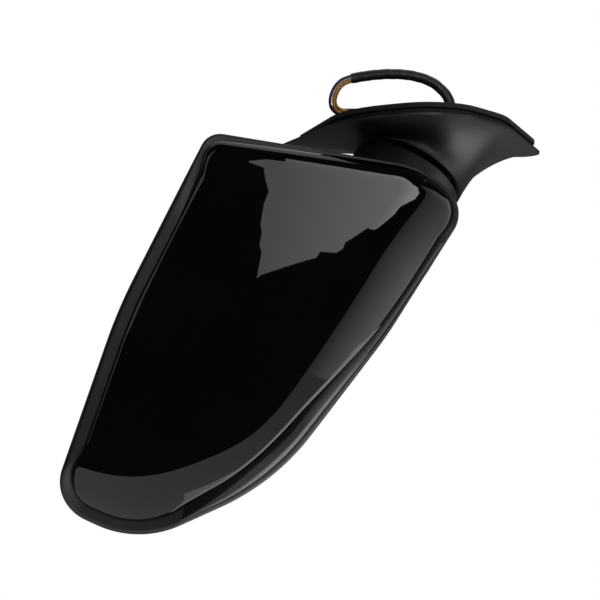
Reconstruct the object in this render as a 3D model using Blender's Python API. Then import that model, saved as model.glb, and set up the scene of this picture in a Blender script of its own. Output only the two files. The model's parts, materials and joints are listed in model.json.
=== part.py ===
import math

import bmesh
import bpy
from mathutils import Matrix, Vector

MM = 0.001

# Fits
GAP = 0.3 * MM            # between pieces that touch
RUNNING_GAP = 0.35 * MM   # between a pin and its hole
BEYOND = 200 * MM         # past the far side of every piece that a cutter goes through

# Head outline, seen from the front: (outboard, up, corner radius) from the neck's centre
HEAD_REACH = 269 * MM
HEAD_TOP = 114 * MM
HEAD_DROP = 40 * MM
HEAD_CORNERS = [
    (34 * MM, HEAD_TOP, 12 * MM),
    (150 * MM, HEAD_TOP - 3 * MM, 300 * MM),
    (HEAD_REACH, HEAD_TOP - 22 * MM, 24 * MM),
    (HEAD_REACH - 3 * MM, HEAD_TOP - 78 * MM, 60 * MM),
    (HEAD_REACH - 73 * MM, HEAD_TOP - 131 * MM, 140 * MM),
    (90 * MM, 6 * MM - HEAD_DROP, 250 * MM),
    (0 * MM, -HEAD_DROP, 16 * MM),
    (-8 * MM, -6 * MM, 60 * MM),
]
CROWN = (HEAD_REACH - 129 * MM, HEAD_TOP - 66 * MM)    # the outline draws in towards this point
OUTLINE_POINTS = 72

# Head depths along the glass normal, rearward positive, from the neck's centre
RIM_DEPTH = 39 * MM
BEZEL_LENGTH = 9 * MM
FACE_DEPTH = -60 * MM          # front of the cap where its crown and its shoulder end
CAP_CROWN = 5 * MM
CROWN_REACH = (150 * MM, 95 * MM)   # across and up from the crown to where its rise ends
WALL = 2.5 * MM
TOP_LIP = 8 * MM               # strip of housing that shows beyond the cap along the top
NECK_LIP = 1.5 * MM            # at the neck end, where the cap wraps over
LOW_LIPS = (3.5 * MM, 14 * MM)                   # and along the lens, narrow near the neck and wide near the tip
LOW_LIP_AT = (40 * MM, HEAD_REACH - 79 * MM)     # where it starts to widen, and where it is widest
WRAP_REACH = 90 * MM           # how far outboard the wrapped end has its effect
CAP_SEAT = 5 * MM              # how far the housing's lip reaches under the cap
LENS_SEAT = 0.45               # share of the lip that is left under the lens
HOUSING_EDGE = [(4 * MM, 0.03), (1 * MM, 0.1), (0 * MM, 0.22)]   # depths behind, insets as shares of the lip
CAP_SOFTS = (2 * MM, 10 * MM, 2.5 * MM)     # rounding of the cap's edge at the top, the neck and below
CAP_STEPS = (3 * MM, 12 * MM, 9 * MM)       # from the cap's face back to the housing's edge there
SHOULDER_FROM = 4 * MM         # from the lower edge to the shoulder
SHOULDER = 36 * MM             # reach of the soft shoulder along the lower edge and the end
SHOULDER_FALL = 17 * MM        # and how far it falls back
SHOULDER_BLENDS = (4 * MM, 14 * MM)         # how softly it turns at the two corners before the end
NECK_FADE = 0.4                # share of the fall that is lost at the neck
LENS_FROM = 20 * MM            # outboard reach of the lens
LENS_TO = HEAD_REACH - 24 * MM
LENS_DROP = 0.7 * MM           # the lens lies this much behind the cap's face
LENS_EDGE = 0.25               # share of the lip between the head's outline and the lens
LENS_BLUNT = 1.2 * MM
BOARD_THICK = 1.6 * MM
BOARD_ENDS = 4                 # outline points that the light board stops short of the lens ends
BOARD_LIP = 9 * MM             # it lies where the lip is wider than this
BOARD_PAST = 1 * MM            # and reaches this far under the cap
BEZEL_LIP = 8 * MM
BEZEL_THICK = 3 * MM
BEZEL_SOFT = 1.6 * MM
NECK_REACH = 60 * MM           # how far outboard the lower edge still rises towards the neck
SLANT_REACH = 95 * MM          # how far outboard the slanted inboard wall has its effect
SLANT_FROM = -34 * MM          # depth at which the slant sets in
SLANT_SOFT = 12 * MM           # and how gently
LOW_BAND = (1.25, 2.1)         # lowness at the bottom of the head, and its fall up the head's height
TIP_FALL = 0.6                 # its fall from the lens' outboard end to the head's
NECK_FALL = 0.8                # and towards the neck
LOW_ROUNDS = 4                 # how often the lowness is evened out
GLASS_CLEARANCE = 3 * MM

# Placing of the head on the door plate
HEAD_RISE = math.radians(28.4)
HEAD_SWEEP = math.radians(8)
NECK_SWEEP = math.radians(24.8)
NECK_POINT = Vector((-30 * MM, -5 * MM, 7 * MM))

# Neck and its hinge
NECK_RADIUS = 34 * MM
NECK_WALL = 3 * MM
SPLIT = 3.4 * MM
COLLAR_LENGTH = 18 * MM
COLLAR_SOFT = 1 * MM
WIRE_BORE = 9 * MM
HINGE_OFFSET = NECK_RADIUS + 4 * MM
PIN_RADIUS = 3 * MM
PIN_HEAD = 1.5 * MM
BARREL_GAP = 0.8 * MM     # round the hinge in the collar and the foot
HINGE_END_GAP = 1 * MM
KNUCKLE_HALF = 11.5 * MM
EAR_LENGTH = 12 * MM
BRACKET_THICK = 3 * MM
BARREL_RADIUS = SPLIT / 2 + NECK_WALL + GAP + BRACKET_THICK
LEAF_START = -15 * MM
SLOT_START = 17 * MM
NOTCH_START = 21 * MM
HEAD_LEAF_HALF = 20 * MM
POST_RADIUS = 14 * MM
POST_LENGTH = 60 * MM          # before it is trimmed at the plate

# Door plate, seen along the door normal: (rearward, up, corner radius)
FOOT_CORNERS = [
    (30 * MM, 86 * MM, 5 * MM),
    (-62 * MM, 46 * MM, 60 * MM),
    (-92 * MM, -14 * MM, 45 * MM),
    (-40 * MM, -52 * MM, 60 * MM),
    (57 * MM, -79 * MM, 12 * MM),
    (52 * MM, 20 * MM, 60 * MM),
]
FOOT_POINTS = 64
RIM_EDGE = 1.4 * MM            # thickness of the cover at its rim
RIM_SHARE = 0.4                # share of the wall that is left there
FLARE = 13 * MM                # straight reach of the flare under the neck
FLARE_RISE = 2 * MM            # least rise from the rim to the end of that reach
PLATE_CORNERS = [
    (30 * MM, 72 * MM, 4 * MM),
    (-59 * MM, 45 * MM, 60 * MM),
    (-90 * MM, -14 * MM, 45 * MM),
    (-39 * MM, -50 * MM, 60 * MM),
    (55 * MM, -76 * MM, 12 * MM),
    (50 * MM, 20 * MM, 60 * MM),
]
GROOVE = 1.8 * MM              # how far the plate's edge lies inside the gasket's
PLATE_THICK = 3 * MM
GASKET_THICK = 3 * MM
GASKET_WIDTH = 6 * MM
PAD_RADIUS = 13 * MM
INSERT_PAD = 8 * MM
INSERT_RADIUS = 4.5 * MM
INSERT_BORE = 2.5 * MM
INSERT_PLACES = [(18 * MM, 36 * MM), (-60 * MM, -14 * MM), (30 * MM, -46 * MM)]

# Glass and its drive
GLASS_THICK = 3 * MM
HEATER_THICK = 0.6 * MM
CARRIER_THICK = 2.5 * MM
DRIVE_CENTRE = (CROWN[0] + 8 * MM, CROWN[1] - 8 * MM)
PIVOT_DEPTH = 17 * MM
GIMBAL_RADIUS = 12 * MM
GIMBAL_WIDTH = 3.5 * MM
GIMBAL_HALF = 2 * MM
TRUNNION_RADIUS = 1.6 * MM
YOKE_WIDTH = 8 * MM
YOKE_THICK = 4 * MM
YOKE_TIP = 3.5 * MM
YOKE_AT = GIMBAL_RADIUS + GIMBAL_WIDTH / 2 + GAP + YOKE_THICK / 2
CARRIER_STANDOFF = 9 * MM
DRIVE_ARM = 34 * MM
SCREW_RADIUS = 4 * MM
ACTUATOR_RADIUS = 47 * MM
ACTUATOR_DEPTH = 18 * MM
ACTUATOR_WALL = 2 * MM
FRAME_THICK = 4 * MM
FRAME_DEPTH = -12 * MM         # front face of the carrier frame
DRIVE_FLOOR = FRAME_DEPTH + FRAME_THICK + GAP
MOTOR_RADIUS = 6.5 * MM
MOTOR_LENGTH = 26 * MM
MOTOR_START = 8 * MM           # inboard of the drive's centre
MOTOR_PLACES = [("tilt_motor_side", 17 * MM), ("tilt_motor_up", -6 * MM)]
SCREW_CIRCLE = 26 * MM
FIXING_RADIUS = 1.5 * MM
FIXING_HEAD = 2.2 * MM
FIXING_TIP = 3.5 * MM          # how far the screws reach into the actuator
JACK_TRAVEL = 5 * MM

# Harness
SLEEVE_RADIUS = 3.1 * MM
WIRE_RADIUS = 0.8 * MM
WIRE_RING = 1.8 * MM           # from the bundle's middle to each wire's middle
GROMMET_PLACE = (-45 * MM, -17 * MM)
GROMMET_RADIUS = 7 * MM
GROMMET_NECK = 5 * MM
GROMMET_HEIGHT = 4 * MM
CONNECTOR_SIZE = (10 * MM, 14 * MM, 12 * MM)
CONNECTOR_SOFT = 1 * MM
# Routes in mm, from the plate to the sleeve's end and on to the connector
SLEEVE_ROUTE = [(-2, -45, -17), (6, -45, -17), (12.5, -45, -13.5), (18.5, -45.5, -6), (22, -46, 5),
                (23, -46, 17), (22.3, -45.7, 29), (20.6, -45, 40.5)]
WIRE_ROUTE = [(20.5, -45, 40.9), (18.6, -44.7, 45.6), (14.8, -43.8, 49.3), (9.6, -42.2, 51.4),
              (5.4, -39.5, 51.2), (3.4, -35.5, 48.6), (2.9, -31, 45), (2.9, -27, 43), (2.9, -24.2, 42.7)]
WIRE_COLOURS = [(0.75, 0.75, 0.75), (0.75, 0.5, 0.02), (0.8, 0.3, 0.1), (0.03, 0.06, 0.3), (0.6, 0.2, 0.35)]


def clear_scene():
    for item in list(bpy.data.objects):
        bpy.data.objects.remove(item)


def material(name, colour, roughness, metallic=0.0):
    made = bpy.data.materials.new(name)
    made.use_nodes = True
    shader = made.node_tree.nodes["Principled BSDF"]
    shader.inputs["Base Color"].default_value = (*colour, 1.0)
    shader.inputs["Roughness"].default_value = roughness
    shader.inputs["Metallic"].default_value = metallic
    return made


def add_object(name, bm, finish, parent=None):
    """One named solid with its faces turned outward."""
    bmesh.ops.recalc_face_normals(bm, faces=bm.faces)
    mesh = bpy.data.meshes.new(name)
    bm.to_mesh(mesh)
    bm.free()
    mesh.shade_smooth()
    mesh.set_sharp_from_angle(angle=math.radians(40))
    made = bpy.data.objects.new(name, mesh)
    bpy.context.scene.collection.objects.link(made)
    if finish:
        mesh.materials.append(finish)
    made.parent = parent
    return made


def boolean(target, tool, operation):
    """Cuts or joins the tool into the target and hides the tool."""
    tool.hide_render = True
    tool.display_type = "WIRE"
    change = target.modifiers.new(operation.lower(), "BOOLEAN")
    change.operation = operation
    change.solver = "EXACT"
    change.object = tool


def loft(rings, caps=True):
    """Skins equal rings of points. The ends are capped, or else the last ring meets the first."""
    bm = bmesh.new()
    rows = [[bm.verts.new(point) for point in ring] for ring in rings]
    pairs = list(zip(rows, rows[1:]))
    if not caps:
        pairs.append((rows[-1], rows[0]))
    for low, high in pairs:
        for i in range(len(low)):
            j = (i + 1) % len(low)
            bm.faces.new((low[i], low[j], high[j], high[i]))
    if caps:
        bm.faces.new(rows[0][::-1])
        bm.faces.new(rows[-1])
    return bm


def rounded_outline(corners, count):
    """Even points along a closed polygon whose corners are arcs of the given radii."""
    path = []
    for i, (a, b, radius) in enumerate(corners):
        here = Vector((a, b))
        before = Vector(corners[i - 1][:2]) - here
        after = Vector(corners[(i + 1) % len(corners)][:2]) - here
        half = before.angle(after) / 2
        reach = min(radius / math.tan(half), 0.48 * before.length, 0.48 * after.length)
        radius = reach * math.tan(half)
        middle = here + (before.normalized() + after.normalized()).normalized() * radius / math.sin(half)
        start = here + before.normalized() * reach - middle
        end = here + after.normalized() * reach - middle
        turn = start.angle_signed(end)
        steps = 12
        for k in range(steps + 1):
            path.append(middle + Matrix.Rotation(-turn * k / steps, 2) @ start)
    return even_points(path, count)


def even_points(path, count):
    """Points at equal steps along a closed path."""
    lengths = [(path[(i + 1) % len(path)] - p).length for i, p in enumerate(path)]
    step = sum(lengths) / count
    points = []
    at, walked = 0, 0.0
    for k in range(count):
        while walked + lengths[at] < k * step:
            walked += lengths[at]
            at += 1
        share = (k * step - walked) / max(lengths[at], 1e-9)
        points.append(path[at].lerp(path[(at + 1) % len(path)], share))
    return points


def drawn_in(points, amounts, centre):
    """Moves each point towards the centre until it lies the given distance inside the outline."""
    moved = []
    for i, point in enumerate(points):
        along = points[(i + 1) % len(points)] - points[i - 1]
        normal = Vector((-along.y, along.x)).normalized()
        inward = (Vector(centre) - point).normalized()
        moved.append(point + inward * amounts[i] / max(abs(normal.dot(inward)), 0.45))
    return moved


def turned(profile, steps):
    """A closed profile of (radius, height) points turned about Z."""
    rings = []
    for k in range(steps):
        angle = 2 * math.pi * k / steps
        rings.append([Vector((r * math.cos(angle), r * math.sin(angle), z)) for r, z in profile])
    return loft(rings, caps=False)


def rod(radius, low, high, steps=24):
    """A solid cylinder along Z from low to high."""
    rings = []
    for z in (low, high):
        turns = [2 * math.pi * k / steps for k in range(steps)]
        rings.append([Vector((radius * math.cos(t), radius * math.sin(t), z)) for t in turns])
    return loft(rings)


def block(low, high):
    bm = bmesh.new()
    bmesh.ops.create_cube(bm, size=1)
    for vert in bm.verts:
        vert.co = Vector([(l + h) / 2 + c * (h - l) for l, h, c in zip(low, high, vert.co)])
    return bm


def moved(bm, place):
    bmesh.ops.transform(bm, matrix=place, verts=bm.verts)
    return bm


def tube_along(name, points, radius, finish, steps=5):
    """A round cord on a smooth curve through hand-chosen points."""
    data = bpy.data.curves.new(name, "CURVE")
    data.dimensions = "3D"
    data.bevel_depth = radius
    data.bevel_resolution = 2
    data.use_fill_caps = True
    path = smooth_path(points, steps)
    spline = data.splines.new("POLY")
    spline.points.add(len(path) - 1)
    for target, point in zip(spline.points, path):
        target.co = (*point, 1.0)
    made = bpy.data.objects.new(name, data)
    bpy.context.scene.collection.objects.link(made)
    data.materials.append(finish)
    return made


def smooth_path(points, steps):
    """Catmull-Rom points through the route's own points."""
    held = [points[0] * 2 - points[1], *points, points[-1] * 2 - points[-2]]
    path = []
    for a, b, c, d in zip(held, held[1:], held[2:], held[3:]):
        for k in range(steps):
            t = k / steps
            path.append(0.5 * (2 * b + (c - a) * t + (2 * a - 5 * b + 4 * c - d) * t * t
                               + (3 * b - a - 3 * c + d) * t ** 3))
    path.append(points[-1])
    return path


# Head outline and what follows from it
HEAD = rounded_outline(HEAD_CORNERS, OUTLINE_POINTS)
INBOARD = min(u for u, v in HEAD)
OUTBOARD = max(u for u, v in HEAD)
LOW_EDGE = min(v for u, v in HEAD)
HIGH_EDGE = max(v for u, v in HEAD)
BEZEL_START = RIM_DEPTH - BEZEL_LENGTH


def smooth_step(share):
    share = min(max(share, 0.0), 1.0)
    return share * share * (3 - 2 * share)


def lowness(u, v):
    """0 along the top and the ends of the head, 1 along its lower edge."""
    height = (v - LOW_EDGE) / (HIGH_EDGE - LOW_EDGE)
    tip = (u - LENS_TO) / (OUTBOARD - LENS_TO)
    neck = 1 - (u - INBOARD) / NECK_REACH
    share = LOW_BAND[0] - LOW_BAND[1] * height - TIP_FALL * max(tip, 0.0) - NECK_FALL * max(neck, 0.0)
    return smooth_step(share)


def eased(values, rounds):
    """Evens a list of values out round the outline."""
    for k in range(rounds):
        after = values[1:] + values[:1]
        values = [(values[i - 1] + 2 * value + after[i]) / 4 for i, value in enumerate(values)]
    return values


def crowning(u, v):
    """How far the cap's face stands forward of its rim at one place."""
    across = (u - CROWN[0]) / CROWN_REACH[0]
    up = (v - CROWN[1]) / CROWN_REACH[1]
    return CAP_CROWN * (1 - across * across - up * up)


def lower_edge(u):
    """A smooth line along the head's lower edge, through three of its corners."""
    (a, va), (b, vb), (c, vc) = [corner[:2] for corner in HEAD_CORNERS[6:3:-1]]
    return (va * (u - b) * (u - c) / ((a - b) * (a - c)) + vb * (u - a) * (u - c) / ((b - a) * (b - c))
            + vc * (u - a) * (u - b) / ((c - a) * (c - b)))


def soft_least(a, b, reach):
    """The lesser of two distances, eased where they are alike."""
    return -reach * math.log(math.exp(-a / reach) + math.exp(-b / reach))


def inside_edge(u, v, start, end):
    """Distance inside the straight edge between two of the head's corners."""
    run, rise = end[0] - start[0], end[1] - start[1]
    return ((u - start[0]) * rise - (v - start[1]) * run) / math.hypot(run, rise)


def cap_depth(u, v):
    """Depth of the cap's outer face: crowned, and falling back towards the lower edge and the end."""
    tip_top, tip_low, tip_under = HEAD_CORNERS[2:5]
    below = soft_least(v - lower_edge(u), inside_edge(u, v, tip_low, tip_under), SHOULDER_BLENDS[0])
    inside = soft_least(below, inside_edge(u, v, tip_top, tip_low), SHOULDER_BLENDS[1])
    share = max(1 - (inside - SHOULDER_FROM) / SHOULDER, 0.0)
    neck = 1 - NECK_FADE * smooth_step(1 - (u - INBOARD) / NECK_REACH)
    return FACE_DEPTH - crowning(u, v) + SHOULDER_FALL * share * share * neck


LOWNESS = eased([lowness(u, v) for u, v in HEAD], LOW_ROUNDS)
WRAPS = [smooth_step(1 - (u - INBOARD) / WRAP_REACH) for u, v in HEAD]
WIDENING = [smooth_step((u - LOW_LIP_AT[0]) / (LOW_LIP_AT[1] - LOW_LIP_AT[0])) for u, v in HEAD]


def round_head(top, neck, below):
    """Blends values for the top, the neck end and the lower edge round the outline."""
    return [(top + (neck - top) * wrap) * (1 - low) + under * low
            for wrap, low, under in zip(WRAPS, LOWNESS, below)]


BELOW = [LOW_LIPS[0] + (LOW_LIPS[1] - LOW_LIPS[0]) * share for share in WIDENING]
LIPS = round_head(TOP_LIP, NECK_LIP, BELOW)
STEPS = round_head(CAP_STEPS[0], CAP_STEPS[1], [CAP_STEPS[2]] * len(HEAD))
SOFTS = round_head(CAP_SOFTS[0], CAP_SOFTS[1], [CAP_SOFTS[2]] * len(HEAD))
PARTINGS = [cap_depth(u, v) + step for (u, v), step in zip(drawn_in(HEAD, LIPS, CROWN), STEPS)]
IN_LENS = [LENS_FROM < u < LENS_TO and v < CROWN[1] for u, v in HEAD]


def head_ring(depth, amounts):
    """The head outline at one depth, drawn in, with its inboard wall slanted like the neck's split."""
    depths = depth if isinstance(depth, list) else [depth] * len(HEAD)
    if not isinstance(amounts, list):
        amounts = [amounts] * len(HEAD)
    ring = []
    for (u, v), start, deep in zip(drawn_in(HEAD, amounts, CROWN), HEAD, depths):
        share = smooth_step(1 - (start.x - INBOARD) / SLANT_REACH)
        behind = deep - SLANT_FROM
        lean = (behind + math.hypot(behind, SLANT_SOFT)) / 2
        slant = math.tan(NECK_SWEEP) * lean * share
        ring.append(Vector((-(u + slant), deep, v)))
    return ring


def behind_parting(distance):
    """Depths that lie one distance behind the parting line, all round the head."""
    return [parting + distance for parting in PARTINGS]


def head_housing(axes, finish):
    """Satin shell between the cap and the bezel, with a front lip that the cap and the lens sit on."""
    count = len(HEAD)
    under_lens = [IN_LENS[i - 1] and IN_LENS[i] and IN_LENS[(i + 1) % count] for i in range(count)]
    lip_in = [LENS_SEAT * lip if lens else lip + CAP_SEAT for lens, lip in zip(under_lens, LIPS)]
    cap_edge = [(LENS_SEAT + LENS_EDGE) / 2 * lip if lens else lip for lens, lip in zip(under_lens, LIPS)]
    rings = [head_ring(depth, 0.0) for depth in (BEZEL_START - GAP, 0.0, FRAME_DEPTH)]
    for back, share in HOUSING_EDGE:
        depths = [parting + back * min(lip / TOP_LIP, 1.0) for parting, lip in zip(PARTINGS, LIPS)]
        rings.append(head_ring(depths, [share * lip for lip in LIPS]))
    rings += [
        head_ring(PARTINGS, cap_edge),
        head_ring(PARTINGS, lip_in),
        head_ring(behind_parting(WALL), lip_in),
        head_ring(behind_parting(WALL + HOUSING_EDGE[0][0]), WALL + GAP),
    ]
    rings += [head_ring(depth, WALL) for depth in (FRAME_DEPTH, 0.0, BEZEL_START - GAP)]
    return add_object("head_housing", loft(rings, caps=False), finish, axes)


def rear_bezel(axes, finish):
    """Ring round the glass opening."""
    soft = BEZEL_SOFT
    rings = [
        head_ring(BEZEL_START, 0.0),
        head_ring(RIM_DEPTH - soft, soft / 8),
        head_ring(RIM_DEPTH, soft),
        head_ring(RIM_DEPTH, BEZEL_LIP - soft),
        head_ring(RIM_DEPTH - soft, BEZEL_LIP),
        head_ring(RIM_DEPTH - BEZEL_THICK, BEZEL_LIP),
        head_ring(RIM_DEPTH - BEZEL_THICK, 1.4 * WALL),
        head_ring(BEZEL_START, WALL),
    ]
    return add_object("rear_bezel", loft(rings, caps=False), finish, axes)


def cap_rings(wall, turns):
    """Rings of the cap's outer face, or of its inner face one wall further in, from the edge to the crown."""
    rings = [head_ring(behind_parting(-GAP), [lip + wall for lip in LIPS])]
    for turn in turns:
        angle = math.radians(turn)
        amounts = [lip + wall + soft * (1 - math.cos(angle)) for lip, soft in zip(LIPS, SOFTS)]
        depths = [cap_depth(u, v) + wall + soft * (1 - math.sin(angle))
                  for (u, v), soft in zip(drawn_in(HEAD, amounts, CROWN), SOFTS)]
        rings.append(head_ring(depths, amounts))
    rim = rings[-1]
    for share in (0.92, 0.82, 0.7, 0.55, 0.38, 0.2, 0.05):
        ring = []
        for point in rim:
            u = CROWN[0] + (-point.x - CROWN[0]) * share
            v = CROWN[1] + (point.z - CROWN[1]) * share
            ring.append(Vector((-u, cap_depth(u, v) + wall, v)))
        rings.append(ring)
    return rings


def front_cap(axes, finish):
    outer = cap_rings(0.0, (0, 30, 60, 90))
    inner = cap_rings(WALL, (90,))
    return add_object("front_cap", loft(inner[::-1] + outer), finish, axes)


def lens_indices():
    return [i for i in range(len(HEAD)) if IN_LENS[i]]


def indicator_lens(axes, finish):
    """Wedge-shaped strip between the cap's lower edge and the housing's edge."""
    near = [LENS_EDGE * lip for lip in LIPS]
    far = [lip - GAP for lip in LIPS]
    low = head_ring(behind_parting(-GAP), near)
    low_front = head_ring(behind_parting(-GAP - LENS_BLUNT), near)
    inner = head_ring(behind_parting(-GAP), far)
    high = head_ring([parting - step + LENS_DROP for parting, step in zip(PARTINGS, STEPS)], far)
    sections = [[low[i], low_front[i], high[i], inner[i]] for i in lens_indices()]
    return add_object("indicator_lens", loft(sections), finish, axes)


def indicator_board(axes, finish):
    """Light board behind the lens, inside the housing."""
    top = behind_parting(WALL + GAP)
    near = head_ring(top, [LENS_SEAT * lip + 2 * GAP for lip in LIPS])
    far = head_ring(top, [lip + BOARD_PAST for lip in LIPS])
    deep = Vector((0, BOARD_THICK, 0))
    chosen = [i for i in lens_indices()[BOARD_ENDS:-BOARD_ENDS] if LIPS[i] > BOARD_LIP]
    sections = [[near[i], far[i], far[i] + deep, near[i] + deep] for i in chosen]
    return add_object("indicator_board", loft(sections), finish, axes)


def glass_stack(axes, carrier_finish, heater_finish, glass_finish):
    inset = BEZEL_LIP + GLASS_CLEARANCE
    depth = PIVOT_DEPTH + CARRIER_STANDOFF
    made = []
    for name, thick, finish in (("glass_carrier", CARRIER_THICK, carrier_finish),
                                ("heater_pad", HEATER_THICK, heater_finish),
                                ("mirror_glass", GLASS_THICK, glass_finish)):
        ring = head_ring(RIM_DEPTH, inset)
        shift_low = Vector((0, depth - RIM_DEPTH, 0))
        shift_high = Vector((0, depth + thick - RIM_DEPTH, 0))
        rings = [[p + shift_low for p in ring], [p + shift_high for p in ring]]
        made.append(add_object(name, loft(rings), finish, axes))
        depth += thick + GAP
    return made


def neck_prism(name, corners, low, high, axes):
    """A cutter drawn in the neck's (rearward, outboard) plane and extruded from low to high up the hinge."""
    rings = [[Vector((e, -height, d)) for e, d in corners] for height in (low, high)]
    return add_object(name, loft(rings), None, axes)


def hinge_place():
    """Turns a piece modelled along Z onto the hinge axis, up the head, in the neck's axes."""
    return Matrix.Translation((HINGE_OFFSET, 0, 0)) @ Matrix.Rotation(math.radians(90), 4, "X")


def hinge_rod(name, radius, low, high, axes, finish=None):
    return add_object(name, moved(rod(radius, low, high), hinge_place()), finish, axes)


def neck_collar(axes, finish):
    """Cup on the head side of the split. Its floor carries the head's half of the hinge."""
    bottom = SPLIT / 2
    inside = NECK_RADIUS - NECK_WALL
    profile = [
        (WIRE_BORE, bottom),
        (NECK_RADIUS - COLLAR_SOFT, bottom),
        (NECK_RADIUS, bottom + COLLAR_SOFT),
        (NECK_RADIUS, bottom + COLLAR_LENGTH),
        (inside, bottom + COLLAR_LENGTH),
        (inside, bottom + NECK_WALL),
        (WIRE_BORE, bottom + NECK_WALL),
    ]
    collar = add_object("neck_collar", turned(profile, 48), finish, axes)
    clear = EAR_LENGTH + KNUCKLE_HALF + HINGE_END_GAP
    room = hinge_rod("collar_hinge_cutter", BARREL_RADIUS + BARREL_GAP, -clear, clear, axes)
    boolean(collar, room, "DIFFERENCE")
    slot_low = bottom + 0.7 * NECK_WALL
    slot_high = BARREL_RADIUS + 2 * GAP
    slot_start, slot_end = inside - NECK_WALL, HINGE_OFFSET + BARREL_RADIUS
    slot = [(slot_start, slot_low), (slot_end, slot_low), (slot_end, slot_high), (slot_start, slot_high)]
    half = KNUCKLE_HALF + 2 * GAP
    boolean(collar, neck_prism("collar_slot_cutter", slot, -half, half, axes), "DIFFERENCE")
    return collar


def neck_cutter(axes):
    """Room for the collar in the housing's inboard wall and in the frame."""
    end = SPLIT / 2 + COLLAR_LENGTH + GAP
    return add_object("neck_cutter", rod(NECK_RADIUS + GAP, -SPLIT, end, 48), None, axes)


def hinge_leaf(side):
    """Outline of one leaf in the neck's (rearward, outboard) plane. Its end rolls round the hinge."""
    inner = BARREL_RADIUS - BRACKET_THICK
    meet = math.asin(inner / BARREL_RADIUS)
    outline = [(LEAF_START, side * inner), (LEAF_START, side * BARREL_RADIUS)]
    steps = 20
    for k in range(steps + 1):
        turn = math.radians(90) - (math.radians(270) + meet) * k / steps
        outline.append((HINGE_OFFSET + BARREL_RADIUS * math.cos(turn), side * BARREL_RADIUS * math.sin(turn)))
    return outline


def leaf_notch(name, low, high, axes):
    """Room in one leaf for the other leaf's knuckle."""
    start, end = NOTCH_START, HINGE_OFFSET + 2 * BARREL_RADIUS
    reach = 2 * BARREL_RADIUS
    return neck_prism(name, [(start, -reach), (end, -reach), (end, reach), (start, reach)], low, high, axes)


def pivot_leaf(name, side, half_width, notches, axes, finish):
    rings = [[Vector((e, -height, d)) for e, d in hinge_leaf(side)] for height in (-half_width, half_width)]
    leaf = add_object(name, loft(rings), finish, axes)
    for k, (low, high) in enumerate(notches):
        boolean(leaf, leaf_notch("%s_notch_%d" % (name, k), low, high, axes), "DIFFERENCE")
    bore = hinge_rod(name + "_pin_bore", PIN_RADIUS + RUNNING_GAP, -2 * half_width, 2 * half_width, axes)
    boolean(leaf, bore, "DIFFERENCE")
    wires = add_object(name + "_wire_bore", rod(WIRE_BORE, -2 * BARREL_RADIUS, 2 * BARREL_RADIUS), None, axes)
    boolean(leaf, wires, "DIFFERENCE")
    return leaf


def head_pivot_bracket(axes, finish):
    """Leaf on the collar's floor with the hinge's middle knuckle."""
    beyond = 2 * HEAD_LEAF_HALF
    notches = [(KNUCKLE_HALF, beyond), (-beyond, -KNUCKLE_HALF)]
    return pivot_leaf("head_pivot_bracket", 1, HEAD_LEAF_HALF, notches, axes, finish)


def base_pivot_bracket(axes, finish):
    """Leaf inside the foot with the hinge's two outer ears."""
    notches = [(-KNUCKLE_HALF - GAP, KNUCKLE_HALF + GAP)]
    return pivot_leaf("base_pivot_bracket", -1, KNUCKLE_HALF + GAP + EAR_LENGTH, notches, axes, finish)


def pivot_post(axes, finish):
    """Hollow post from the door plate to the base leaf."""
    top = -BARREL_RADIUS - GAP
    bottom = top - POST_LENGTH
    profile = [(WIRE_BORE, bottom), (POST_RADIUS, bottom), (POST_RADIUS, top), (WIRE_BORE, top)]
    post = add_object("pivot_post", turned(profile, 32), finish, axes)
    trim = add_object("post_trim", block((COVER_BACK, -BEYOND, -BEYOND), (BEYOND, BEYOND, BEYOND)), None)
    boolean(post, trim, "DIFFERENCE")
    return post


def hinge_pin(axes, finish):
    half = KNUCKLE_HALF + GAP + EAR_LENGTH
    end = half + PIN_HEAD
    flange = PIN_RADIUS + PIN_HEAD
    pin = [(0.0, -end), (flange, -end), (flange, -half - GAP), (PIN_RADIUS, -half - GAP),
           (PIN_RADIUS, end), (0.0, end)]
    return add_object("hinge_pin", moved(solid_turned(pin, 24), hinge_place()), finish, axes)


def solid_turned(profile, steps):
    """Turns an open profile that starts and ends on the axis, from low to high."""
    rings = []
    for r, z in profile:
        if r > 0:
            turns = [2 * math.pi * k / steps for k in range(steps)]
            rings.append([Vector((r * math.cos(t), r * math.sin(t), z)) for t in turns])
    return loft(rings)


# Foot and door plate, in world axes
FOOT = rounded_outline(FOOT_CORNERS, FOOT_POINTS)
PLATE = rounded_outline(PLATE_CORNERS, FOOT_POINTS)
PLATE_BACK = -GASKET_THICK - GAP
PLATE_FRONT = PLATE_BACK - PLATE_THICK
COVER_BACK = PLATE_FRONT - GAP


def foot_ring(share, wall, neck):
    """One ring of the foot cover, from the rim at the door (0) to the neck (1)."""
    centre = neck.translation
    points = drawn_in(FOOT, [wall] * len(FOOT), (centre.y, centre.z))
    ring = []
    for y, z in points:
        angle = math.atan2(z - centre.z, y - centre.y)
        radius = NECK_RADIUS - wall
        end = Vector((radius * math.cos(angle), -radius * math.sin(angle), -SPLIT / 2))
        start = Vector((COVER_BACK - RIM_EDGE + RIM_SHARE * wall, y, z))
        end = neck @ end
        inward = -neck.col[2].to_3d()
        room = (start.x - FLARE_RISE - end.x) / inward.x
        under = end + inward * min(max(room, 0.0), FLARE)
        aim = start.lerp(Vector((start.x - FLARE_RISE / 2, under.y, under.z)), 0.5)
        t, rest = share, 1 - share
        ring.append(start * rest ** 3 + aim * 3 * t * rest ** 2 + under * 3 * t * t * rest + end * t ** 3)
    return ring


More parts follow.
